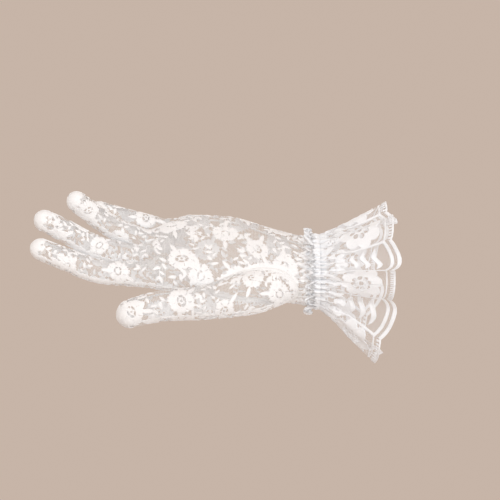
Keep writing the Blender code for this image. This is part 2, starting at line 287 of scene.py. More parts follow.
class Drawing:
    """A panel's clothwork on a flat grid. shape is how far inside it a point is, relief how proud it stands
    there, and fine how far inside an area of finer net the point is. A drawing may repeat across."""

    def __init__(self, u_span, v_span, repeats=1):
        self.u0, self.du, self.columns = grid_steps(*u_span)
        self.v0, self.dv, self.rows = grid_steps(*v_span)
        self.u = self.u0 + self.du * np.arange(self.columns)
        self.v = self.v0 + self.dv * np.arange(self.rows)
        self.shape = np.full((self.rows, self.columns), -3.0)
        self.fine = np.full((self.rows, self.columns), -3.0)
        self.relief = np.zeros((self.rows, self.columns))
        self.repeats = repeats

    def put(self, shape, relief=0.0, fine=None, window=(slice(None), slice(None))):
        over = shape > self.shape[window]
        self.relief[window] = np.where(over, relief, self.relief[window])
        self.shape[window] = np.where(over, shape, self.shape[window])
        if fine is not None:
            self.fine[window] = np.maximum(self.fine[window], fine)

    def stamp(self, at, turn, reach, motif, *numbers):
        """Draws a motif at a place, turned anticlockwise from u by turn."""
        axes = ((at[0], self.u0, self.du, self.columns), (at[1], self.v0, self.dv, self.rows))
        low = [int(np.clip((a - reach - o) / s, 0, n)) for a, o, s, n in axes]
        high = [int(np.clip((a + reach - o) / s + 2, 0, n)) for a, o, s, n in axes]
        if low[0] >= high[0] or low[1] >= high[1]:
            return
        window = (slice(low[1], high[1]), slice(low[0], high[0]))
        u, v = np.meshgrid(self.u[window[1]] - at[0], self.v[window[0]] - at[1])
        c, s = math.cos(turn), math.sin(turn)
        self.put(*motif(u * c + v * s, v * c - u * s, *numbers), window=window)

    def line(self, points, width):
        """A thread through points."""
        for a, b in zip(points[:-1], points[1:], strict=True):
            length = math.hypot(b[0] - a[0], b[1] - a[1])
            turn = math.atan2(b[1] - a[1], b[0] - a[0])
            self.stamp(a, turn, length + width, bar, length, width)

    def read(self, field, u, v):
        """A field at any flat points."""
        if self.repeats > 1:
            u = (u - self.u0) % (self.u[-1] - self.u[0]) + self.u0
        return between(field, (v - self.v0) / self.dv, (u - self.u0) / self.du)

    def grid(self):
        """The flat place of each of its points."""
        return np.meshgrid(self.u, self.v)

    def mesh(self, u_span, v_span):
        """The clothwork between two v, as points of u, v, shape and relief, and triangles."""
        rows = self.v[(self.v > v_span[0] - self.dv) & (self.v < v_span[1] + self.dv)]
        first = round((rows[0] - self.v0) / self.dv)
        period = self.columns - 1
        c0 = math.floor((u_span[0] - self.u0) / self.du)
        c1 = math.ceil((u_span[1] - self.u0) / self.du)
        index = np.arange(c0, c1 + 1)
        at = index % period if self.repeats > 1 else np.clip(index, 0, period)
        shape = self.shape[first : first + len(rows)][:, at]
        relief = self.relief[first : first + len(rows)][:, at]
        u = self.u0 + self.du * index
        points = np.stack(
            [np.tile(u, len(rows)), np.repeat(rows, len(u)), shape.reshape(-1), relief.reshape(-1)], 1
        )
        k = np.arange(len(points)).reshape(shape.shape)
        a, b, c, d = k[:-1, :-1], k[:-1, 1:], k[1:, 1:], k[1:, :-1]
        triangles = np.concatenate([np.stack([a, b, c], -1), np.stack([a, c, d], -1)]).reshape(-1, 3)
        triangles = triangles[(points[triangles, 2] > 0).any(1)]
        return clip(points, triangles, points[:, 2])


def bar(x, y, length, width):
    across = np.hypot(np.where(x < 0, x, np.where(x > length, x - length, 0)), y)
    return width / 2 - across, 0.2


def leaf(x, y, length, width):
    """A pointed leaf along x with a toothed edge and a sunk vein."""
    t = np.clip(x / length, 0, 1)
    half = width / 2 * np.sin(np.pi * t**0.8) ** 0.75 + 0.13 * np.cos(TAU * 4 * t)
    shape = np.minimum(half - np.abs(y), np.minimum(x, length - x) + 0.15)
    return shape, 0.6 - 0.8 * np.exp(-((y / 0.35) ** 2))


def bud(x, y, size):
    """A small closed flower: three petals out of a cup."""
    r, a = np.hypot(x, y), np.arctan2(y, x)
    outline = size * (0.62 + 0.38 * np.abs(np.cos(1.5 * a)))
    return outline - r, 0.3 + 0.5 * np.cos(3 * a)


def rose(x, y, size, petals, pierced):
    """An open flower: uneven jagged petals, faintly parted, about a ring of slits or an open eye."""
    x, y = x + 0.09 * size * np.sin(2.6 * y / size + petals), y + 0.09 * size * np.sin(2.9 * x / size)
    r, a = np.hypot(x, y), np.arctan2(y, x)
    beat = (a * petals / TAU) % 1 - 0.5
    lobe = np.cos(np.pi * beat)
    ragged = 0.13 * np.abs(np.cos(1.5 * petals * a + 0.6 * np.sin(3 * a))) + 0.07 * np.sin(2 * a + petals)
    outline = size * (0.8 + 0.08 * lobe + ragged) - r
    slit = np.maximum((0.5 - np.abs(beat)) * TAU / petals * r - 0.13, np.abs(r - 0.66 * size) - 0.13 * size)
    eye = np.abs(r - 0.29 * size) - (0.075 if pierced else 0.05) * size
    bridge = 0.34 - np.abs(np.sin(2.5 * a + petals)) * r * 0.4
    middle = np.where(pierced, np.maximum(r - 0.1 * size, 0), 3)
    shape = np.minimum(np.minimum(outline, slit), np.minimum(np.maximum(eye, bridge), middle))
    relief = 0.3 + 0.5 * lobe * ease(r / size) - 0.5 * np.exp(-(((r - 0.5 * size) / 0.5) ** 2))
    return shape, relief


def daisy(x, y, size, petals):
    """The ruffle's large flower: fat round petals about an eye of round holes."""
    r, a = np.hypot(x, y), np.arctan2(y, x)
    turn = ((a * petals / TAU) % 1 - 0.5) * TAU / petals
    along, across = r * np.cos(turn), r * np.sin(turn)
    petal = 0.34 * size - np.hypot(along - 0.66 * size, across * 1.08)
    hole = np.hypot(along - 0.36 * size, across * 1.05) - 0.118 * size
    eye = np.minimum(hole, r - 0.125 * size)
    shape = np.minimum(np.maximum(petal, 0.62 * size - r), eye)
    relief = 0.9 * np.exp(-(((petal - 0.6) / 0.7) ** 2)) + 0.5 * np.exp(-(((eye - 0.5) / 0.5) ** 2))
    return shape, relief


def wave_leaf(x, y, length, width, bow):
    """A long solid leaf bent into an S, with a raised edge."""
    t = np.clip(x / length, 0, 1)
    half = width / 2 * np.sin(np.pi * t) ** 0.5
    inside = np.minimum(half - np.abs(y - bow * np.sin(TAU * t)), np.minimum(x, length - x) + 0.2)
    return inside, 0.8 * np.exp(-(((inside - 0.6) / 0.6) ** 2))


def spray(drawing, rng, at, turn, count, size, bend=0.5):
    """A curved stem from a place, with leaves along it by turns on either side and one at its end."""
    points, here, way = [at], np.array(at, float), turn
    reach = size * 0.62
    for k in range(count):
        here = here + reach * np.array((math.cos(way), math.sin(way)))
        way += bend * rng.uniform(0.4, 1.0) * reach / 6
        points.append(tuple(here))
        out = way + (1 if k % 2 else -1) * rng.uniform(0.8, 1.15)
        long = size * rng.uniform(0.75, 1.1)
        drawing.stamp(tuple(here), out, long + 1, leaf, long, long * 0.46)
    drawing.stamp(tuple(here), way, size + 1.5, leaf, size * 1.1, size * 0.5)
    drawing.line(points, 0.5)


def free(drawing, at, reach):
    """Whether there is bare net all round a place."""
    turn = np.linspace(0, TAU, 12, endpoint=False)
    u, v = at[0] + reach * np.cos(turn), at[1] + reach * np.sin(turn)
    near = drawing.read(drawing.shape, np.append(u, at[0]), np.append(v, at[1]))
    close = drawing.read(drawing.shape, at[0] + (u - at[0]) / 2, at[1] + (v - at[1]) / 2)
    return max(near.max(), close.max()) < -0.5


# What goes in the gaps between roses: the free space it needs as a share of a rose's, the leaves on its
# stem (0 for a small flower, 1 for a bud) and how many times to look for a place.
FILLERS = ((0.95, 4, 80), (0.75, 2, 90), (0.7, 0, 40), (0.6, 2, 90), (0.55, 1, 60))


def arrange(drawing, cloth, seed, roses, v_span, size=9.4, spacing=25.0, fill=1.0):
    """Fills a drawing between two v: the given roses, more where they fit, leafy stems out of them, and
    smaller flowers, stems and buds in the gaps. fill is how thoroughly."""
    rng = np.random.default_rng(seed)
    low, high = (drawing.u[0], v_span[0]), (drawing.u[-1], v_span[1])
    placed = [np.array(r, float) for r in roses]
    for _ in range(400):
        at = rng.uniform(low, high)
        apart = all(np.linalg.norm(at - p) > spacing for p in placed)
        if apart and cloth.edge(*at) > -3 and free(drawing, at, size):
            placed.append(at)
    small = 0.58 * size
    for at in placed:
        turn = rng.uniform(0, TAU)
        for k in range(5):
            out = turn + TAU * (k + rng.uniform(-0.25, 0.25)) / 5
            start = (at[0] + 0.8 * size * math.cos(out), at[1] + 0.8 * size * math.sin(out))
            if k % 2:
                drawing.stamp(start, out, size, leaf, 1.5 * small, 0.62 * small)
            else:
                spray(drawing, rng, start, out, 5, small, rng.choice((-0.8, 0.8)))
    for at in placed:
        whole = size * rng.uniform(0.92, 1.06)
        turn, petals, pierced = rng.uniform(0, TAU), rng.integers(6, 9), rng.random() < 0.6
        drawing.stamp(at, turn, size + 2, rose, whole, petals, pierced)
    for share, kind, tries in FILLERS:
        reach = share * size
        for _ in range(round(tries * fill)):
            at = rng.uniform(low, high)
            if cloth.edge(*at) < -2 or not free(drawing, at, reach):
                continue
            turn = rng.uniform(0, TAU)
            back = (at[0] - 0.8 * reach * math.cos(turn), at[1] - 0.8 * reach * math.sin(turn))
            if kind > 1:
                spray(drawing, rng, back, turn, kind, small, rng.choice((-0.7, 0.7)))
            elif kind:
                drawing.stamp(at, turn, 4, bud, rng.uniform(1.2, 1.8))
            else:
                drawing.stamp(at, turn, 0.5 * size + 1, rose, 0.5 * size, 5, True)
    return drawing


# ---------------- pieces


def linked(name, data):
    made = bpy.data.objects.new(name, data)
    bpy.context.scene.collection.objects.link(made)
    return made


def mesh_piece(name, points, triangles, materials, index=None):
    """A smooth mesh of points in hand coordinates, and of triangles or quads."""
    mesh = bpy.data.meshes.new(name)
    mesh.vertices.add(len(points))
    mesh.vertices.foreach_set("co", place(points).astype(np.float32).reshape(-1))
    sides = triangles.shape[1]
    mesh.loops.add(triangles.size)
    mesh.loops.foreach_set("vertex_index", triangles.astype(np.int32).reshape(-1))
    mesh.polygons.add(len(triangles))
    mesh.polygons.foreach_set("loop_start", np.arange(0, triangles.size, sides, dtype=np.int32))
    if index is not None:
        mesh.polygons.foreach_set("material_index", index.astype(np.int32))
    for material in materials:
        mesh.materials.append(material)
    mesh.update()
    mesh.validate()
    mesh.shade_smooth()
    return linked(name, mesh)


def lace(name, kind, cloth, drawing, v_span, dressing, u_span=None, within=None, backed=True):
    """A piece of lace on its surface. kind is its materials, slot and how it is held, and dressing the CAD
    nodes, bodies and bend that dress takes. within is how far inside its own outline a point is, from its
    flat place and hand coordinates; backed is whether the clothwork has an inner face too."""
    materials, slot, held = kind
    nodes, *motion = dressing
    widest = float(np.interp(np.linspace(*v_span, 60), cloth.v, cloth.half).max())
    cut = u_span or (-widest - STEP, widest + STEP)

    def inside(flat):
        edge = cloth.edge(flat[:, 0], flat[:, 1])
        if within is None:
            return edge
        return np.minimum(edge, within(flat[:, 0], flat[:, 1], cloth.at(flat[:, 0], flat[:, 1])))

    def span(flat):
        ends = np.minimum(flat[:, 1] - v_span[0], v_span[1] - flat[:, 1])
        return np.minimum(ends, np.minimum(flat[:, 0] - cut[0], cut[1] - flat[:, 0]))

    def trim(flat, triangles):
        for value in (span, inside):
            flat, triangles = clip(flat, triangles, value(flat))
        return flat, triangles

    flat, triangles = trim(*drawing.mesh(cut, v_span))
    shape = np.minimum(flat[:, 2], inside(flat))
    rise = ease(shape / 0.4)
    top = rise * (0.12 + 0.2 * flat[:, 3] + 0.16 * np.exp(-(((shape - 0.45) / 0.3) ** 2)))
    parts = [cloth.at(flat[:, 0], flat[:, 1], top), cloth.at(flat[:, 0], flat[:, 1], -0.1 * rise)]
    under = np.where(rise < 1e-4, np.arange(len(flat)), np.arange(len(flat)) + len(flat))
    faces = [triangles, under[triangles][:, ::-1]] if backed else [triangles]
    index = [np.zeros(len(faces) * len(triangles))]
    count = 2 * len(flat)
    for spacing, thread, fine in ((NET_PITCH, NET_THREAD, False), (FINE_PITCH, FINE_THREAD, True)):
        if fine and drawing.fine.max() < 0:
            continue
        flat, triangles = net(cut, v_span, spacing, thread)
        shape = drawing.read(drawing.shape, flat[:, 0], flat[:, 1])
        sheer = drawing.read(drawing.fine, flat[:, 0], flat[:, 1])
        bare = (shape < 0.35) & ((sheer > 0) if fine else (sheer < 0.3))
        flat, triangles = trim(*squeeze(flat, triangles[bare[triangles].any(1)]))
        parts.append(cloth.at(flat[:, 0], flat[:, 1]))
        faces.append(triangles + count)
        index.append(np.ones(len(triangles)))
        count += len(flat)
    points, triangles = squeeze(np.concatenate(parts), np.concatenate(faces))
    piece = mesh_piece(name, points, triangles, materials, np.concatenate(index))
    u, v = np.meshgrid(np.arange(cut[0], cut[1], RASTER), np.arange(*v_span, RASTER))
    flat = np.stack([u.reshape(-1), v.reshape(-1)], 1)
    flat = flat[inside(flat) > 0]
    size = np.ptp(flat, axis=0) + RASTER
    dress(piece, nodes, slot, *motion)


def tube(grid, closed=False):
    """Quads over rings of points."""
    rows, columns = grid.shape[:2]
    k = np.arange(rows * columns).reshape(rows, columns)
    if closed:
        k = np.concatenate([k, k[:1]])
    right = np.roll(k, -1, axis=1)
    return np.stack([k[:-1], right[:-1], right[1:], k[1:]], -1).reshape(-1, 4)


def overlock(paths, width):
    """Seams along paths of points and outward directions: rounded ridges wrapped in slanting threads."""
    points, faces, count = [], [], 0
    around = np.linspace(0, TAU, 10, endpoint=False)
    for path, out in paths:
        if len(path) < 3:
            continue
        length = np.linalg.norm(np.diff(path, axis=0), axis=1).sum()
        line, _ = evenly(np.hstack([path, out]), max(8, round(length / 0.3)))
        middle, outward = line[:, :3], unit(line[:, 3:])
        along = unit(np.gradient(middle, axis=0))
        side = unit(np.cross(along, outward))
        run = np.linspace(0, length, len(line))[:, None]
        wrap = 1 + 0.14 * np.cos(TAU * run / 1.25 + around)
        wide = (width / 2 * wrap * np.cos(around))[..., None]
        high = (width * 0.36 * wrap * np.sin(around))[..., None]
        ring = middle[:, None] + side[:, None] * wide + outward[:, None] * high
        points.append(ring.reshape(-1, 3))
        faces.append(tube(ring) + count)
        count += ring.shape[0] * ring.shape[1]
    return np.concatenate(points), np.concatenate(faces)


def dress(piece, nodes, slot, bodies, bend=None):
    """Attaches a piece to its body where it has only one, or else bakes its transform into its mesh, and
    hides the CAD nodes it stands for. slot is not used.
    """
    if len(bodies) == 1:
        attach(piece, bodies[0])
    else:
        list(bodies)
        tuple(bend[0])
        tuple(bend[1])
        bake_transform(piece)
    if nodes:
        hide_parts(*nodes)


# ---------------- materials


def new_material(name):
    """A material, its surface shader, a function that adds a node with its inputs' values, and its links."""
    material = bpy.data.materials.new(name)
    material.use_nodes = True
    tree = material.node_tree

    def add(kind, **values):
        node = tree.nodes.new(f"ShaderNode{kind}")
        for label, value in values.items():
            node.inputs[label].default_value = value
        return node

    return material, tree.nodes["Principled BSDF"], add, tree.links


def yarn(name, colour, shade, roughness, weave, bump, sheen):
    """Cotton or nylon: a fine weave in the bump, and cloudy and fine variation in colour and roughness."""
    material, surface, add, links = new_material(name)
    surface.inputs["Sheen Weight"].default_value = sheen
    surface.inputs["Sheen Roughness"].default_value = 0.4
    where = add("TexCoord").outputs["Object"]
    cloud, fibre = add("TexNoise", Scale=90.0, Detail=2.0), add("TexNoise", Scale=1600.0, Detail=3.0)
    for noise in (cloud, fibre):
        links.new(where, noise.inputs["Vector"])
    blend = add("Math")
    blend.operation = "MULTIPLY_ADD"
    blend.inputs[1].default_value = 0.55
    links.new(cloud.outputs["Fac"], blend.inputs[0])
    links.new(fibre.outputs["Fac"], blend.inputs[2])
    ramp = add("ValToRGB")
    for stop, at, tint in zip(ramp.color_ramp.elements, (0.45, 0.95), (shade, colour), strict=True):
        stop.position, stop.color = at, (*tint, 1)
    links.new(blend.outputs[0], ramp.inputs["Fac"])
    links.new(ramp.outputs["Color"], surface.inputs["Base Color"])
    rough = add("MapRange", **{"To Min": roughness - 0.12, "To Max": roughness + 0.12})
    links.new(fibre.outputs["Fac"], rough.inputs["Value"])
    links.new(rough.outputs["Result"], surface.inputs["Roughness"])
    crossing = add("Math")
    crossing.operation = "MULTIPLY"
    for k, direction in enumerate("XZ"):
        wave = add("TexWave", Scale=weave, Distortion=1.5)
        wave.bands_direction = direction
        links.new(where, wave.inputs["Vector"])
        links.new(wave.outputs["Fac"], crossing.inputs[k])
    relief = add("Bump", Strength=bump, Distance=0.0002)
    links.new(crossing.outputs[0], relief.inputs["Height"])
    links.new(relief.outputs["Normal"], surface.inputs["Normal"])
    return material


WHITE = yarn("lace_clothwork", (0.93, 0.93, 0.935), (0.82, 0.82, 0.83), 0.72, 520, 0.5, 0.25)
NET = yarn("lace_net", (0.88, 0.875, 0.87), (0.78, 0.77, 0.77), 0.6, 900, 0.3, 0.15)
RUFFLE_WHITE = yarn("ruffle_clothwork", (0.92, 0.93, 0.95), (0.8, 0.82, 0.85), 0.68, 520, 0.5, 0.3)
RUFFLE_NET = yarn("ruffle_net", (0.86, 0.87, 0.89), (0.76, 0.77, 0.8), 0.6, 900, 0.3, 0.15)
SEAM = yarn("seam_thread", (0.93, 0.93, 0.93), (0.8, 0.8, 0.8), 0.65, 700, 0.6, 0.2)
ELASTIC = yarn("covered_elastic", (0.88, 0.88, 0.88), (0.7, 0.7, 0.71), 0.7, 480, 0.8, 0.1)

# Each kind of lace: the materials of its clothwork and its net, its slot, and how it is held.
STRETCH_LACE = ((WHITE, NET), "white_lace", "stretched")
RUFFLE_LACE = ((RUFFLE_WHITE, RUFFLE_NET), "ruffle_lace", "gathered")


def sew(name, paths, width, nodes, bodies, bend=None):
    """A seam along paths, as overlock takes them."""
    dress(mesh_piece(name, *overlock(paths, width), (SEAM,)), nodes, "seam_thread", bodies, bend)


# ---------------- the hand's panels

SIDES = (("front", 1), ("back", -1))


def hand_cloth(side):
    d = np.linspace(HAND_START, 112, 110)[:, None]
    angle = np.linspace(0, math.pi, 721) * side
    steps = np.linalg.norm(np.diff(hand_point(d, angle), axis=1), axis=2)
    run = np.pad(np.cumsum(steps, axis=1), ((0, 0), (1, 0)))
    angle = np.stack([np.interp(np.linspace(0, row[-1], 121), row, angle) for row in run])
    near = np.exp(-(((d - HAND_START) / 10) ** 2))
    tuck = near * (0.8 * np.cos(27 * angle + 1.6 * np.sin(5 * angle)) + 0.5 * np.cos(41 * angle + 0.2 * d))
    return Cloth(hand_point(d, angle, tuck), d[:, 0], side)


def lane_start(name):
    """The d at which a finger's cloth leaves the hand."""
    return float(hand_of(JOINTS[f"{name}_base_bend"]["pos_m"])[0]) - FINGER_LEAD


def hand_outline(u, v, points):
    """Inside the hand's panels: short of the fingers' cloth, and outside the thumb."""
    reach = [np.full(len(v), -9.0)]
    for name, (_, _, (_, low)) in FINGERS.items():
        beyond = points[:, 1] - (low + 0.15 if low is not None else -99)
        reach.append(np.minimum(lane_start(name) + 0.3 - v, beyond))
    return np.minimum(np.max(reach, axis=0), from_thumb(points))


def flat_place(cloth, d, r):
    """The flat place of a point of the hand's panel."""
    row = int(np.argmin(np.abs(cloth.v - d)))
    return cloth.across(row, int(np.argmin(np.abs(cloth.grid[row, :, 1] - r)))), d


def place_seen(cloth, x, z):
    """The flat place of the point of a cloth that is nearest to a world x and z, in millimetres."""
    world = place(cloth.grid) / MM
    away = np.hypot(world[..., 0] - x, world[..., 2] - z)
    row, column = np.unravel_index(np.argmin(away), away.shape)
    return cloth.across(row, column), cloth.v[row]


def edging(drawing, cloth, width):
    """Close cloth along a panel's two long edges, where it is turned into the seams."""
    u, v = drawing.grid()
    ragged = 0.35 * np.cos(TAU * v / 3.1) + 0.3 * width * np.cos(TAU * v / 7.7)
    drawing.put(width - cloth.edge(u, v) + ragged, 0.2)


def crowd(drawing, seed, rows):
    """Leaves crowded together across a panel, in rows of v and spacing."""
    rng = np.random.default_rng(seed)
    for v, spacing in rows:
        for u in np.arange(drawing.u[0], drawing.u[-1], spacing):
            at = (u + rng.uniform(-1.2, 1.2), v + rng.uniform(-1.5, 1.5))
            turn = math.pi / 2 + rng.uniform(-0.9, 0.9)
            drawing.stamp(at, turn, 7, leaf, rng.uniform(4, 6.5), rng.uniform(2, 3))


HEM_END = 70  # along a panel or the thumb, where the two are no longer sewn together


def hem(drawing, cloth, outside, width):
    """Close, ragged cloth along a cut edge, given how far outside the cut a point is."""
    u, v = drawing.grid()
    away = outside(cloth.at(u.reshape(-1), v.reshape(-1))).reshape(u.shape)
    ragged = 0.9 * np.cos(1.9 * u + 0.8 * np.sin(v)) + 0.7 * np.cos(2.3 * v)
    end = 0.5 * (HEM_END + 3 * np.cos(u) - v)
    shape = np.minimum(np.minimum(width + ragged - away, away + 3), end)
    drawing.put(np.minimum(shape, -away.min(axis=1, keepdims=True)), 0.4)


PALM_ROSES = ((64, -13), (41, 1), (22, 15), (93, 11), (80, 23), (101, -23))
HAND_DRAWN = 132  # the hand's drawing runs on into the fingers' cloth
hands = {}
for label, side in SIDES:
    panel = hand_cloth(side)
    drawing = Drawing((-panel.half.max() - 1, panel.half.max() + 1), (HAND_START - 1, HAND_DRAWN))
    roses = [flat_place(panel, d, r) for d, r in PALM_ROSES] if side > 0 else ()
    crowd(drawing, 60 + side, ((4, 4.0), (8, 5.0), (12, 7.5)))
    arrange(drawing, panel, 5 + side, roses, (HAND_START, 108), fill=1.0 if side > 0 else 0.2)
    hem(drawing, panel, from_thumb, 3.2)
    hands[side] = (panel, drawing)
    name, span = ("palm" if side > 0 else "back"), (HAND_START, 111)
    dressing = ([f"{name}_panel"], ["hand"])
    lace(f"{name}_lace", STRETCH_LACE, panel, drawing, span, dressing, within=hand_outline)


# ---------------- the fingers and the thumb


def spine(points, count=240):
    """Even points along a smooth curve through these, their directions, how far along it they are, and how
    far along it each given one is."""
    points = np.asarray(points, float)
    chord = distances(points)
    fine = through(np.column_stack([chord, points]), np.linspace(0, chord[-1], 600))
    marks = np.interp(chord, np.linspace(0, chord[-1], 600), distances(fine))
    line, length = evenly(fine, count)
    return line, unit(np.gradient(line, axis=0)), np.linspace(0, length, count), marks


def frames(directions, straight):
    """Directions across and out of a digit, from those along it. straight is how far each is the hand's."""
    along = unit(directions * (1 - straight[:, None]) + np.array((1.0, 0, 0)) * straight[:, None])
    across = unit(np.array((0.0, 1.0, 0.0)) - along * along[:, 1:2])
    return across, np.cross(along, across)


def capped(m, length, radius):
    """How much a digit narrows towards its round tip."""
    t = np.clip((m - (length - radius)) / radius, 0, 0.995)
    return np.sqrt(1 - t * t)


def oval(across, out, wide, thick, angle):
    """Ovals round a digit, as offsets from its middle line."""
    wide = wide[:, None, None] * np.cos(angle)[:, None]
    thick = thick[:, None, None] * np.sin(angle)[:, None]
    return across[:, None] * wide + out[:, None] * thick


def lane_section(name, side, columns):
    """The part of the hand's section that a finger takes over, and its middle."""
    d = lane_start(name)
    r0, p0, wide, _ = section_at(HAND_SECTIONS, d)
    high, low = FINGERS[name][2]
    high = r0 + wide if high is None else high
    low = r0 - wide if low is None else low
    surface = hand_point(d, np.linspace(0, math.pi, 400) * side)
    surface = surface[(surface[:, 1] <= high) & (surface[:, 1] >= low)]
    line = np.concatenate([[(d, high, p0)], surface, [(d, low, p0)]])
    return evenly(line, columns)[0], np.array((d, (high + low) / 2, p0))


def finger_cloth(name, side):
    tip, widths, _ = FINGERS[name]
    joints = [hand_of(JOINTS[f"{name}_{k}_bend"]["pos_m"]) for k in ("base", "middle", "tip")]
    columns = 49
    section, start = lane_section(name, side, columns)
    line, along, m, marks = spine([start, *joints, tip])
    across, out = frames(along, 1 - ease(m / 12))
    radius = np.interp(m, marks[1:], widths)
    narrow = capped(m, m[-1], widths[-1])
    angle = np.linspace(0, math.pi, columns) * side
    round_part = ease((m - 2) / 20)[:, None, None]
    tube_part = oval(across, out, radius * narrow, radius * narrow * DEPTH, angle)
    offset = section - start
    flat_part = across[:, None] * offset[:, 1:2] + out[:, None] * offset[:, 2:3]
    grid = line[:, None] + tube_part * round_part + flat_part * (1 - round_part)
    return Cloth(grid, m, side), line, along, marks


def thumb_cloth(side):
    sections = np.array(THUMB_SECTIONS)
    line, along, m, marks = spine(sections[:, :3], 300)
    free_from = marks[list(sections[:, 0]).index(THUMB_FREE)]
    across, out = frames(along, 1 - ease((m - free_from + 10) / 22))
    wide = through(np.column_stack([marks, sections[:, 3:]]), m)
    narrow = capped(m, m[-1], sections[-1, 3])
    angle = np.linspace(0, math.pi, 65) * side
    grid = line[:, None] + oval(across, out, wide[:, 0] * narrow, wide[:, 1] * narrow, angle)
    return Cloth(grid, m, side), line, along, marks


def close_tip(drawing, cloth, length):
    """Finer net at a digit's tip, and close cloth along the seam there."""
    u, v = drawing.grid()
    ragged = 1.0 * np.cos(u * 1.1) + 0.8 * np.cos(u * 2.3 + v)
    drawing.put(v - (cloth.v[-1] - 0.7 * length) + ragged, 0.2, v - (cloth.v[-1] - length) + ragged)


def carry_on(drawing, cloth, name, side):
    """Runs the hand's drawing on into a finger's, so that no motif stops where the finger begins."""
    panel, hand = hands[side]
    start = lane_start(name)
    section, _ = lane_section(name, side, 81)
    flat = np.linspace(-1, 1, 600) * np.interp(start, panel.v, panel.half)
    gap = np.linalg.norm(section[:, None] - panel.at(flat, np.full(600, start)), axis=2)
    length = np.linalg.norm(np.diff(section, axis=0), axis=1).sum()
    own = np.linspace(-length / 2, length / 2, 81)
    there = flat[gap.argmin(1)] + np.sign(own) * gap.min(1)
    run = distances(cloth.grid[:, cloth.grid.shape[1] // 2])
    u, v = np.meshgrid(np.interp(drawing.u, own, there), start + np.interp(drawing.v, cloth.v, run))
    drawing.put(np.where(v < HAND_DRAWN, hand.read(hand.shape, u, v), -3), hand.read(hand.relief, u, v))


def bend_span(line, along, marks, k, before, after):
    """World places where a joint's bend starts and ends on a digit; marks[k] is the joint's place on it."""
    m = np.linspace(0, np.linalg.norm(np.diff(line, axis=0), axis=1).sum(), len(line))
    at = line[int(np.argmin(np.abs(m - marks[k])))]
    way = along[int(np.argmin(np.abs(m - marks[k])))]
    return [tuple(map(float, place(at + way * step))) for step in (-before, after)]


TIP_CORE = 6  # short of a digit's tip: what the seam over it faces away from


def rim(line, cloth, low, high):
    """A digit's side seams between two distances along it, and over its tip if they reach it."""
    rows = (cloth.v >= low) & (cloth.v <= high)
    core = line[np.minimum(np.nonzero(rows)[0], len(line) - round(TIP_CORE / cloth.v[1]))]
    up, down = ((cloth.grid[rows, k], unit(cloth.grid[rows, k] - core)) for k in (0, -1))
    down = tuple(each[::-1] for each in down)
    if high < cloth.v[-1]:
        return [up, down]
    return [tuple(np.concatenate(pair) for pair in zip(up, down, strict=True))]


# World x and z of roses on the palm side of the fingers and the thumb.
FINGER_ROSES = {
    "index": ((-136, 0),),
    "middle": ((-150, 18),),
    "ring": ((-157, 42), (-118, 30)),
    "little": ((-120, 38),),
}
THUMB_ROSES = ((-64, -27), (-126, -27), (-44, -4), (-93, -19))
for seed, name in enumerate(FINGERS):
    bodies = ["hand", f"{name}_base", f"{name}_middle", f"{name}_tip"]
    for label, side in SIDES:
        cloth, line, along, marks = finger_cloth(name, side)
        cuts = [0, (marks[1] + marks[2]) / 2, (marks[2] + marks[3]) / 2, marks[4]]
        drawing = Drawing((-cloth.half.max() - 1, cloth.half.max() + 1), (-1, marks[4] + 1))
        roses = [place_seen(cloth, x, z) for x, z in FINGER_ROSES[name]] if side > 0 else ()
        carry_on(drawing, cloth, name, side)
        if side > 0 and name != "index":
            crowd(drawing, 80 + seed, ((2, 4.5), (6.5, 5.5)))
        fill = 0.7 if side > 0 else 0.2
        arrange(drawing, cloth, 20 + 2 * seed + (side > 0), roses, (13, marks[4]), 8.0, 22, fill)
        close_tip(drawing, cloth, 9)
        edging(drawing, cloth, 1.5)
        for k, part in enumerate(("base", "middle", "tip")):
            span = (cuts[k], cuts[k + 1])
            bend = bend_span(line, along, marks, k + 1, *((FINGER_LEAD, 9) if k == 0 else (7.5, 7.5)))
            node, moves = f"{name}_{label}_{part}", (bodies[k : k + 2], bend)
            lace(f"{node}_lace", STRETCH_LACE, cloth, drawing, span, ([node], *moves), backed=part != "tip")
            if side > 0:
                sew(f"{name}_{part}_seam", rim(line, cloth, *span), 0.9, (), *moves)

bodies = ["hand", "thumb_middle", "thumb_tip"]
for label, side in SIDES:
    cloth, line, along, marks = thumb_cloth(side)
    joint, second = marks[4], marks[5]
    cuts = [0, joint - 13, (joint + second) / 2, marks[6]]
    drawing = Drawing((-cloth.half.max() - 1, cloth.half.max() + 1), (-1, marks[6] + 1))
    roses = [place_seen(cloth, x, z) for x, z in THUMB_ROSES] if side > 0 else ()
    arrange(drawing, cloth, 40 + side, roses, (0, marks[6]), 9.0, 22, 0.8 if side > 0 else 0.2)
    hem(drawing, cloth, from_hand, 2.2)
    close_tip(drawing, cloth, 6)
    edging(drawing, cloth, 0.8)
    for k, part in enumerate(("base", "middle", "tip")):
        span = (cuts[k], cuts[k + 1])
        bend = bend_span(line, along, marks, k + 3, 10, 10)
        node, moves = f"thumb_{label}_{part}", (bodies[max(k - 1, 0) : k + 1], bend)
        rooted = part != "tip"
        outline = (lambda u, v, points: from_hand(points)) if rooted else None
        lace(f"{node}_lace", STRETCH_LACE, cloth, drawing, span, ([node], *moves), None, outline, rooted)
        if side > 0:
            paths = rim(line, cloth, *span)
            if rooted:
                paths = [(p[from_hand(p) > 0], o[from_hand(p) > 0]) for p, o in paths]
            sew(f"thumb_{part}_seam", paths, 1.0, (), *moves)


# ---------------- the hand's seams

SIDE_SEAM = 1.5  # its width


def side_path(angle, finger):
    """Along the hand's side from the wrist to a finger, and the direction out of it."""
    path = hand_point(np.linspace(HAND_START + 1, lane_start(finger), 240), angle)
    return path, np.zeros_like(path) + (0, math.cos(angle), 0)


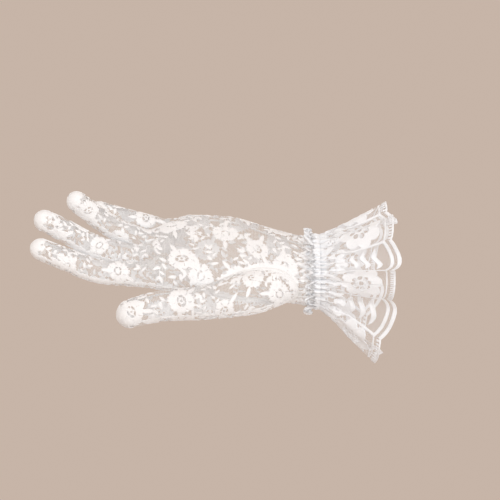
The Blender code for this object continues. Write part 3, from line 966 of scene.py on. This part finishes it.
path, out = side_path(0.0, "index")
clear = from_thumb(path) > 0
near_wrist, near_finger = clear & (path[:, 0] < 40), clear & (path[:, 0] > 40)
paths = [(path[k], out[k]) for k in (near_wrist, near_finger)]
sew("thumb_side_seam", paths, SIDE_SEAM, ["index_side_seam"], ["hand"])
paths = [side_path(math.pi, "little")]
sew("little_finger_side_seam", paths, SIDE_SEAM, ["little_side_seam"], ["hand"])

# The thumb's opening: where each line along the thumb comes out of the hand.
angles = np.linspace(0, TAU, 161)
inner, outer = np.full(len(angles), 6.0), np.full(len(angles), 77.0)
for _ in range(30):
    middle = (inner + outer) / 2
    r0, p0, wide, thick = section_at(THUMB_SECTIONS, middle)
    edge = np.stack([middle, r0 + wide * np.cos(angles), p0 + thick * np.sin(angles)], -1)
    inside = from_hand(edge) < 0
    inner, outer = np.where(inside, middle, inner), np.where(inside, outer, middle)
away = np.stack([np.zeros_like(angles), wide * np.cos(angles), thick * np.sin(angles)], -1)
hand_away = np.stack([0 * angles, 0 * angles, np.sign(edge[:, 2] - 8)], -1)
sew("thumb_opening_seam", [(edge, unit(away) + hand_away)], 2 * SIDE_SEAM, ["thumb_seam"], ["hand"])


# ---------------- the ruffle, its heading and the casing

REPEAT = 56.0  # of the ruffle's lace along the strip: a daisy scallop and a leaf scallop
REPEATS = 6  # one to each fold
STRIP = REPEAT * REPEATS  # the ruffle's flat length before it is gathered
RUFFLE_TURN = math.radians(38)  # where a daisy and a fold face
SPARE = 1.0  # of the strip's surface beyond each end of its lace, so that the ends meet
RUFFLE_DEEP = 52.5
SCALLOP = 4.0


def ruffle_flare(angle):
    turned = angle + HAND_TILT
    up, near = -np.cos(turned), np.sin(turned)
    return np.radians(26.5 - 11.0 * up - 6.0 * near + 6.5 * up * up)


def gathers(angle, v):
    """Height of the small pleats that the elastic pulls the strip into, on both sides of it."""
    near = np.exp(-((v / 9) ** 2))
    fine = 1.15 * np.sin(43 * angle + 2.4 * np.sin(5 * angle) + 0.12 * v)
    fine = fine + 0.55 * np.sin(71 * angle + 2.0 * np.sin(9 * angle) - 0.2 * v)
    broad = 0.8 * np.exp(-(((v - 11) / 10) ** 2)) * np.sin(25 * angle + 1.9 * np.sin(4 * angle))
    return near * fine + broad


def strip_angle(count):
    """Where points along the gathered strip stand round the wrist."""
    return RUFFLE_TURN + TAU * np.linspace(-STRIP / 2 - SPARE, STRIP / 2 + SPARE, count) / STRIP


def cut_strip(name, nodes, cloth, drawing, count, v_span, within=None):
    """The strip's lace in equal lengths, to keep each piece's mesh small."""
    for k in range(count):
        span = (STRIP * (k / count - 0.5), STRIP * ((k + 1) / count - 0.5))
        lace(f"{name}_{k + 1}", RUFFLE_LACE, cloth, drawing, v_span, (nodes, ["hand"]), span, within)


def ruffle_cloth():
    """The strip gathered into fine pleats at the wrist, which open into deep folds at its free edge."""
    v = np.linspace(-3, RUFFLE_DEEP + SCALLOP + 1, 90)[:, None]
    angle = strip_angle(1441)
    flare = ruffle_flare(angle)
    part = np.clip(v / 56, 0, None)
    turn = angle - RUFFLE_TURN
    fold = 7.0 * part * np.tanh(1.5 * np.cos(REPEATS * turn + 0.35 * np.sin(2 * turn))) / math.tanh(1.5)
    fold = fold * (1 + 0.25 * np.sin(2 * turn - 0.6))
    fold = fold + 1.6 * part * (1.3 - part) * np.sin(17 * angle + 2 * np.sin(3 * angle))
    lift = fold + gathers(angle, np.clip(v, 0, None))
    base = hand_point(-1.8, angle)
    away = np.stack([0 * angle, np.cos(angle), np.sin(angle)], -1)
    ahead = np.array((-1.0, 0, 0))
    slope = np.cos(flare)[:, None] * ahead + np.sin(flare)[:, None] * away
    normal = np.cos(flare)[:, None] * away - np.sin(flare)[:, None] * ahead
    grid = base + slope * v[..., None] + normal * lift[..., None]
    return Cloth(grid, v[:, 0], -1, half=STRIP / 2 + SPARE)


def scallop_edge(u, v, _=None):
    """How far inside the ruffle's edge a flat place is: a round scallop to each daisy and set of leaves."""
    across = (u / (REPEAT / 2) + 0.5) % 1 - 0.5
    return RUFFLE_DEEP + 1.5 * SCALLOP * (np.sqrt(1 - (1.86 * across) ** 2) - 0.35) - v


def ruffle_drawing():
    """One repeat: a daisy under one scallop, S-shaped leaves under the next, and a double border."""
    drawing = Drawing((-REPEAT / 2, REPEAT / 2), (-4, RUFFLE_DEEP + SCALLOP + 2), repeats=REPEATS)
    rng = np.random.default_rng(3)
    half = REPEAT / 2
    for turn in (-REPEAT, 0, REPEAT):
        for v, long, bow in ((39.5, 22, 1.9), (31.5, 20, 1.8), (24.0, 17, 1.6), (17.0, 13, 1.3)):
            drawing.stamp((turn + half - long / 2, v), 0.0, long + 2, wave_leaf, long, 4.4, bow)
        for side in (-1, 1):
            drawing.line([(turn + side * 14, 9), (turn + side * 16.2, 24), (turn + side * 14.0, 47)], 1.5)
            for u, v, lean in ((10.5, 5, 0.5), (17.5, 6, -0.4), (5, 9, 0.2), (12, 12, -0.3), (21, 12, 0.6)):
                drawing.stamp((turn + side * u, v), math.pi / 2 + side * lean, 9, leaf, 7.5, 4.2)
        for u in (-8, 0, 8):
            spray(drawing, rng, (turn + half + u, 3), math.pi / 2, 2, 7, 0.3)
        drawing.stamp((turn, 31), math.pi / 16, 18, daisy, 16.0, 8)
        drawing.stamp((turn, 10.5), 0.3, 8, rose, 6.0, 6, False)
    u, v = drawing.grid()
    edge = scallop_edge(u, v)
    leaves = np.cos(TAU * u / REPEAT) < 0
    bars = np.abs(((u + 100) / 1.6) % 1 - 0.5) * 1.6
    drawing.put(np.minimum(edge + 0.2, np.where(leaves, 2.9, 1.5) - edge), 0.6)
    drawing.put(np.where(leaves, -3, np.minimum(0.5 - bars, np.minimum(edge - 1.0, 3.9 - edge))), 0.4)
    drawing.put(np.where(leaves, 1.3, 0.6) - np.abs(6.4 - edge), 0.6)
    drawing.put(5.5 - v + 1.8 * np.cos(TAU * u / 7) * np.cos(TAU * u / 4.6), 0.25)
    return drawing


cut_strip("ruffle_lace", ["ruffle"], ruffle_cloth(), ruffle_drawing(), 4, (-2, 60), scallop_edge)


HEADING_DEEP = 17.0  # of the strip, over the elastic and out into the heading


def frill_cloth():
    """The strip over the elastic, and its other edge beyond it, which rolls out in loops over the hand."""
    v = np.linspace(0, HEADING_DEEP, 40)[:, None]
    angle = strip_angle(1201)
    flat = 6.5
    loops = 0.6 + 0.34 * np.cos(14 * angle + 1.2 * np.sin(3 * angle))
    loops = loops + 0.2 * np.cos(23 * angle + 2 * np.sin(4 * angle))
    on, beyond = np.clip(v, 0, flat), np.clip(v - flat, 0, None)
    lean = 2.5 * beyond / (HEADING_DEEP - flat)
    out = 2.7 * (1 - np.cos(lean))
    forth = 3.8 * np.sin(lean)
    sway = 0.25 * beyond * np.sin(28 * angle + 1.4 * np.sin(5 * angle))
    high = 1.5 + gathers(angle, 2.0 * np.abs(v - 3)) * 0.8 + out * loops
    along = -2.4 + 0.8 * on + forth * (0.6 + 0.5 * loops) + sway
    return Cloth(hand_point(along, angle, high), v[:, 0], 1, half=STRIP / 2 + SPARE)


def frill_drawing():
    drawing = Drawing((-REPEAT / 4, REPEAT / 4), (-1, HEADING_DEEP + 1), repeats=2 * REPEATS)
    rng = np.random.default_rng(8)
    u, v = drawing.grid()
    drawing.put(1.4 - np.abs(v - HEADING_DEEP + 1.2) + 0.4 * np.cos(TAU * u / 1.75), 0.5)
    drawing.put(5.2 - v + 2.2 * np.cos(TAU * u / 7) * np.cos(TAU * u / 4), 0.25)
    for u in np.arange(-12, 15, 3.5):
        drawing.stamp((u, 8 + 2 * rng.random()), math.pi / 2 + rng.uniform(-0.6, 0.6), 8, leaf, 6.0, 3.4)
    return drawing


nodes = ["heading_frill", "wrist_casing"]
cut_strip("heading_lace", nodes, frill_cloth(), frill_drawing(), 2, (0, HEADING_DEEP))


def elastic():
    """The elastic band: a flat oval section, puckered round the arm."""
    angle = np.linspace(0, TAU, 1200, endpoint=False)[:, None]
    turn = np.linspace(0, TAU, 24, endpoint=False)
    d, height = 1.5 + 2.5 * np.cos(turn), -0.8 + 0.55 * np.sin(turn)
    pucker = 0.12 * np.cos(120 * angle) + 0.1 * np.cos(TAU * d / 0.9)
    return hand_point(d, angle, height * (1 + pucker))


band = elastic()
piece = mesh_piece("elastic_band", band.reshape(-1, 3), tube(band, closed=True), (ELASTIC,))
dress(piece, ["wrist_elastic"], "covered_elastic", ["hand"])


# ---------------- camera, light and backdrop

# Lengths are metres from here on.
BACKDROP = (0.57, 0.46, 0.39)  # a plain warm light grey on every side, so that white net shows against it
PAPER = (0.76, 0.72, 0.69)
FLOOR, FLOOR_RADIUS = -1.0, 4.2  # well below the glove, which a hand would hold up
DAYLIGHT = (0.9, 0.96, 1.0)
CAMERA, LENS = (-0.0462, -1.2, 0.0147), 123


def pale_floor():
    """A round pale paper floor."""
    mesh = bpy.data.meshes.new("pale_floor")
    turn = np.linspace(0, TAU, 96, endpoint=False)
    edge = [(FLOOR_RADIUS * math.cos(a), FLOOR_RADIUS * math.sin(a), FLOOR) for a in turn]
    mesh.from_pydata(edge, [], [tuple(range(len(edge)))])
    paper, surface, add, links = new_material("pale_floor")
    surface.inputs["Base Color"].default_value = (*PAPER, 1)
    surface.inputs["Roughness"].default_value = 0.9
    grain, relief = add("TexNoise", Scale=60), add("Bump", Strength=0.1, Distance=0.001)
    links.new(grain.outputs["Fac"], relief.inputs["Height"])
    links.new(relief.outputs["Normal"], surface.inputs["Normal"])
    mesh.materials.append(paper)
    linked("pale_floor", mesh)


def lamp(name, where, energy, size, colour=DAYLIGHT):
    """A soft square light that faces the wrist."""
    light = bpy.data.lights.new(name, "AREA")
    light.energy, light.size, light.color = energy, size, colour
    x, y, z = where
    made = linked(name, light)
    made.location = where
    made.rotation_euler = (math.atan2(math.hypot(x, y), z), 0, math.atan2(x, -y))


scene = bpy.context.scene
scene.camera = linked("camera", bpy.data.cameras.new("camera"))
scene.camera.location = CAMERA
scene.camera.rotation_euler = (math.pi / 2, 0, 0)
scene.camera.data.lens = LENS
lamp("key", (-0.5, -1.1, 1.1), 9, 0.8)
lamp("front", (0.1, -1.5, 0.1), 9, 0.7)
lamp("side", (1.3, -0.5, -0.1), 6, 1.0)
lamp("back", (-0.3, 1.3, 0.3), 12, 0.9, (0.92, 0.97, 1.0))
pale_floor()
scene.world = bpy.data.worlds.new("world")
scene.world.use_nodes = True
backdrop = scene.world.node_tree.nodes["Background"]
backdrop.inputs["Color"].default_value = (*BACKDROP, 1)
backdrop.inputs["Strength"].default_value = 1.0
scene.view_settings.view_transform = "Standard"
